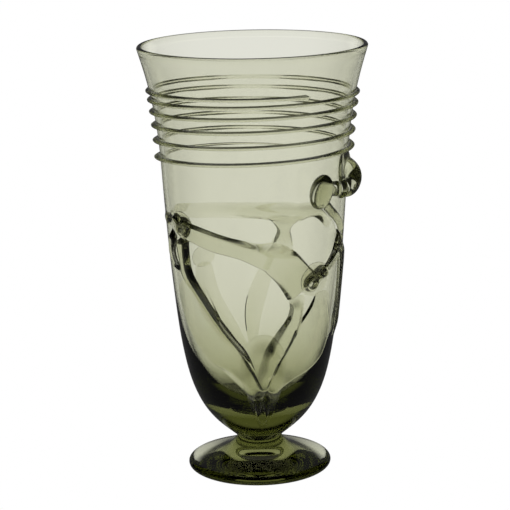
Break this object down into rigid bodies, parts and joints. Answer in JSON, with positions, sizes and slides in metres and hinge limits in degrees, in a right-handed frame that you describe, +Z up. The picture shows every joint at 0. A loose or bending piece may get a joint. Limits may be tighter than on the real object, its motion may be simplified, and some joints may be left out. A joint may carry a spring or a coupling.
{
  "type": "drinking glass",
  "caption": "Tall footed drinking glass in green glass, with a flared rim, a spiral thread, a proud claw and a net of thick trails round the lower body.",
  "frame": {"origin": "centre of the foot's resting plane, on the axis of the bowl", "axes": "+Z up along the bowl's axis, towards the rim. -Y towards the front of the glass, as in the picture. +X towards the side with the claw."},
  "size_m": [0.0996, 0.0996, 0.1899],
  "materials": {
    "green_glass": "fire-polished, clear olive green with small bubbles"
  },
  "bodies": {
    "root": {"foot": "green_glass", "bowl": "green_glass", "rim_thread": "green_glass", "claw": "green_glass", "left_knot": "green_glass", "right_knot": "green_glass", "base_knot": "green_glass", "back_knot": "green_glass", "upper_trail": "green_glass", "brow_trail": "green_glass", "bridge_trail": "green_glass", "ridge_trail": "green_glass", "left_leaf": "green_glass", "left_strand": "green_glass", "inner_leaf": "green_glass", "outer_leaf": "green_glass", "edge_trail": "green_glass", "side_trail": "green_glass", "left_tongue": "green_glass", "back_fan": "green_glass", "back_strand": "green_glass"}
  },
  "joints": []
}
